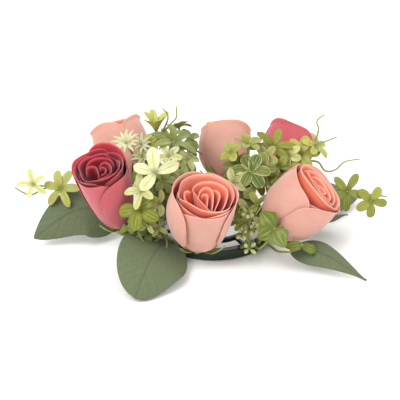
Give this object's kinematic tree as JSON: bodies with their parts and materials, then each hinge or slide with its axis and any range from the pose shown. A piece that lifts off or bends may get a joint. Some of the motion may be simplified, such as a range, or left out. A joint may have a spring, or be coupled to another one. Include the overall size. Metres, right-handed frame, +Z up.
{
  "type": "floral crown ring",
  "caption": "Small wreath of artificial roses, eucalyptus leaves and moulded sprigs plugged into a round two-rail plastic ring, open in the middle.",
  "frame": {"origin": "middle of the footprint, on the plane the ring stands on", "axes": "+Z up through the open ring, -Y towards the single front rose, +X to the right along the longest way across"},
  "size_m": [0.2213, 0.1588, 0.077],
  "materials": {
    "ring_green": "dark green moulded plastic, satin",
    "stem_green": "moss green moulded plastic, satin",
    "peach_fabric": "stiffened peach petal fabric, coral in the folds",
    "deep_pink_fabric": "stiffened deep pink petal fabric, crimson in the folds",
    "eucalyptus_fabric": "grey green leaf fabric with pressed veins",
    "sprig_green": "yellow green moulded leaflets, soft gloss",
    "sprig_pale": "cream and pale green moulded leaflets, soft gloss"
  },
  "bodies": {
    "wreath": {"eucalyptus_back_blade": "eucalyptus_fabric", "eucalyptus_back_left_blade": "eucalyptus_fabric", "eucalyptus_back_left_stem": "stem_green", "eucalyptus_back_right_blade": "eucalyptus_fabric", "eucalyptus_back_right_stem": "stem_green", "eucalyptus_back_stem": "stem_green", "eucalyptus_centre_blade": "eucalyptus_fabric", "eucalyptus_centre_stem": "stem_green", "eucalyptus_far_right_blade": "eucalyptus_fabric", "eucalyptus_far_right_stem": "stem_green", "eucalyptus_front_blade": "eucalyptus_fabric", "eucalyptus_front_stem": "stem_green", "eucalyptus_left_blade": "eucalyptus_fabric", "eucalyptus_left_stem": "stem_green", "eucalyptus_right_blade": "eucalyptus_fabric", "eucalyptus_right_stem": "stem_green", "ring_frame": "ring_green", "rose_back_left_stem": "stem_green", "rose_back_right_stem": "stem_green", "rose_back_stem": "stem_green", "rose_front_stem": "stem_green", "rose_left_stem": "stem_green", "rose_right_stem": "stem_green", "sprig_buds_front": "sprig_green", "sprig_green_back": "sprig_green", "sprig_green_left": "sprig_green", "sprig_green_right": "sprig_green", "sprig_outer_left": "sprig_pale", "sprig_outer_right": "sprig_green", "sprig_pale_front_left": "sprig_pale", "sprig_rose_leaf_right": "sprig_green", "sprig_rose_leaf_under": "sprig_green", "sprig_variegated_centre": "sprig_green", "sprig_wax_flower": "sprig_pale", "sprig_yellow_left": "sprig_pale", "sprig_yellow_right": "sprig_green"},
    "rose_head_front": {"rose_front_calyx": "stem_green", "rose_front_outer_petals": "peach_fabric", "rose_front_middle_petals": "peach_fabric", "rose_front_heart": "peach_fabric"},
    "rose_head_right": {"rose_right_calyx": "stem_green", "rose_right_outer_petals": "peach_fabric", "rose_right_middle_petals": "peach_fabric", "rose_right_heart": "peach_fabric"},
    "rose_head_left": {"rose_left_calyx": "stem_green", "rose_left_outer_petals": "deep_pink_fabric", "rose_left_middle_petals": "deep_pink_fabric", "rose_left_heart": "deep_pink_fabric"},
    "rose_head_back_left": {"rose_back_left_calyx": "stem_green", "rose_back_left_outer_petals": "peach_fabric", "rose_back_left_middle_petals": "peach_fabric", "rose_back_left_heart": "peach_fabric"},
    "rose_head_back": {"rose_back_calyx": "stem_green", "rose_back_outer_petals": "peach_fabric", "rose_back_middle_petals": "peach_fabric", "rose_back_heart": "peach_fabric"},
    "rose_head_back_right": {"rose_back_right_calyx": "stem_green", "rose_back_right_outer_petals": "deep_pink_fabric", "rose_back_right_middle_petals": "deep_pink_fabric", "rose_back_right_heart": "deep_pink_fabric"}
  },
  "joints": [
    {"name": "front_rose_swivel", "type": "hinge", "parent": "wreath", "child": "rose_head_front", "pos_m": [-0.00228, -0.04262, 0.0095], "axis": [0.1094, -0.2346, 0.9659], "continuous": true},
    {"name": "right_rose_swivel", "type": "hinge", "parent": "wreath", "child": "rose_head_right", "pos_m": [0.03548, -0.03008, 0.011], "axis": [0.6609, -0.1047, 0.7431], "continuous": true},
    {"name": "left_rose_swivel", "type": "hinge", "parent": "wreath", "child": "rose_head_left", "pos_m": [-0.04704, -0.0252, 0.012], "axis": [-0.2049, -0.253, 0.9455], "continuous": true},
    {"name": "back_left_rose_swivel", "type": "hinge", "parent": "wreath", "child": "rose_head_back_left", "pos_m": [-0.04016, 0.03155, 0.01], "axis": [-0.3141, 0.5908, 0.7431], "continuous": true},
    {"name": "back_rose_swivel", "type": "hinge", "parent": "wreath", "child": "rose_head_back", "pos_m": [0.01144, 0.03367, 0.0095], "axis": [0.1162, 0.659, 0.7431], "continuous": true},
    {"name": "back_right_rose_swivel", "type": "hinge", "parent": "wreath", "child": "rose_head_back_right", "pos_m": [0.0438, 0.02836, 0.01], "axis": [0.3812, 0.61, 0.6947], "continuous": true}
  ]
}
